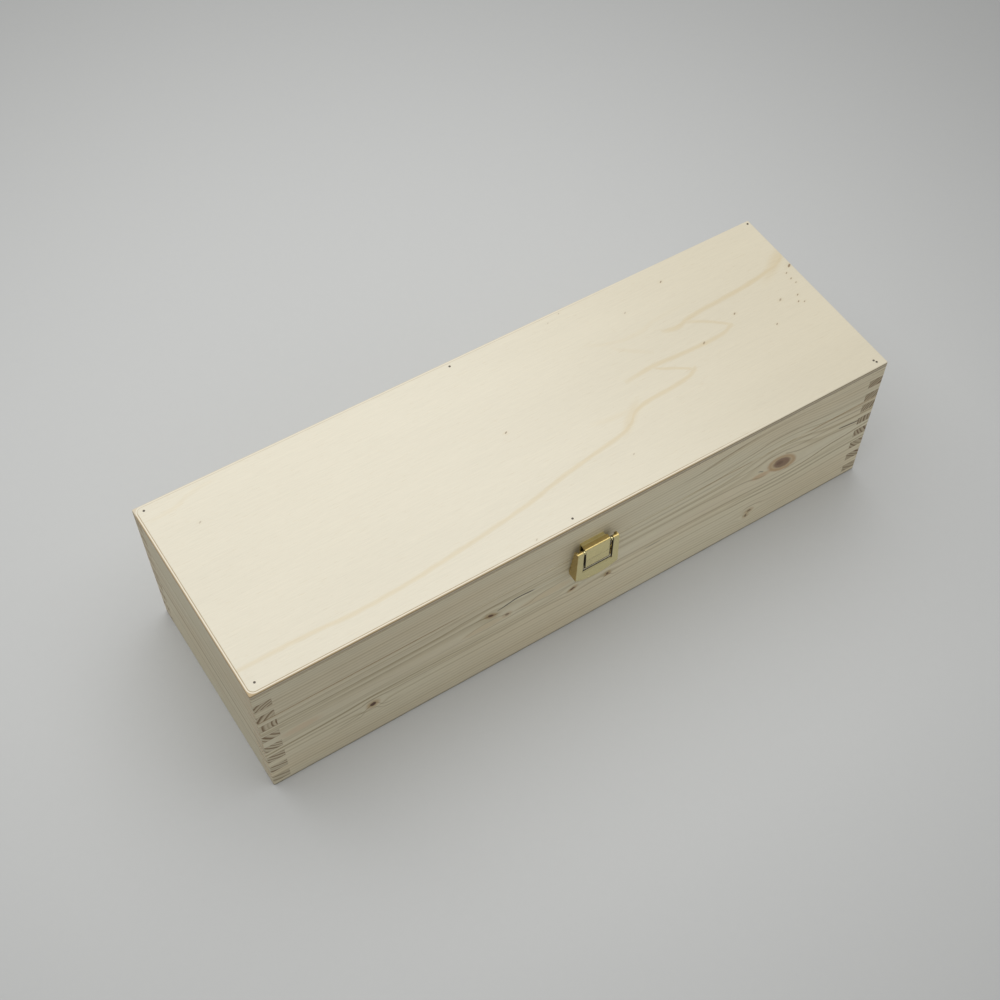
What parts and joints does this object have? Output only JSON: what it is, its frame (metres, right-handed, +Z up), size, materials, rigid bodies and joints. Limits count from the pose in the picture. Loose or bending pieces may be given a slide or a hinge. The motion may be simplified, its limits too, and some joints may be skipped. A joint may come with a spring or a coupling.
{
  "type": "wooden bottle box",
  "caption": "Long finger-jointed pine box for a wine bottle, with a hinged plywood-topped lid, brass hinges and a small brass draw latch on the front.",
  "frame": {"origin": "centre of the underside, on the surface that the box stands on", "axes": "+X along the box to its right end as seen from the latch, -Y out of the latch side, +Z up through the lid"},
  "size_m": [0.35, 0.1242, 0.086],
  "materials": {
    "carcass_pine": "bare sanded softwood, fine straight grain with small knots, end grain showing in the finger joints",
    "panel_plywood": "bare sanded plywood, pale rotary-cut face veneer, three plies at the edge",
    "nail_steel": "dull bright wire",
    "hinge_brass": "pale brass plated, satin",
    "latch_brass": "pale brass plated, satin with bright bends"
  },
  "bodies": {
    "box": {"front_board": "carcass_pine", "back_board": "carcass_pine", "left_end_board": "carcass_pine", "right_end_board": "carcass_pine", "bottom_panel": "panel_plywood", "bottom_nails": "nail_steel", "left_hinge_box_leaf": "hinge_brass", "right_hinge_box_leaf": "hinge_brass", "left_hinge_pin": "hinge_brass", "right_hinge_pin": "hinge_brass", "hinge_box_nails": "hinge_brass", "clasp_base": "latch_brass", "clasp_base_nails": "latch_brass", "lever_pins": "latch_brass"},
    "lid": {"lid_front_rail": "carcass_pine", "lid_back_rail": "carcass_pine", "lid_left_rail": "carcass_pine", "lid_right_rail": "carcass_pine", "lid_top_panel": "panel_plywood", "lid_top_nails": "nail_steel", "left_hinge_lid_leaf": "hinge_brass", "right_hinge_lid_leaf": "hinge_brass", "hinge_lid_nails": "hinge_brass", "clasp_keeper": "latch_brass", "keeper_nails": "latch_brass"},
    "clasp_lever": {"clasp_lever": "latch_brass", "hook_pin": "latch_brass"},
    "clasp_hook": {"clasp_hook": "latch_brass"}
  },
  "joints": [
    {"name": "lid_hinge", "type": "hinge", "parent": "box", "child": "lid", "pos_m": [0, 0.059, 0.061], "axis": [-1, 0, 0], "range_deg": [0, 180]},
    {"name": "clasp_lever_pivot", "type": "hinge", "parent": "box", "child": "clasp_lever", "pos_m": [-0.0002, -0.0621, 0.0691], "axis": [-1, 0, 0], "range_deg": [0, 110]},
    {"name": "clasp_hook_pivot", "type": "hinge", "parent": "clasp_lever", "child": "clasp_hook", "pos_m": [-0.0002, -0.0606, 0.059], "axis": [-1, 0, 0], "range_deg": [-110, 0]}
  ],
  "couplings": [
    {"joint": "clasp_hook_pivot", "follows": "clasp_lever_pivot", "ratio": -1}
  ]
}
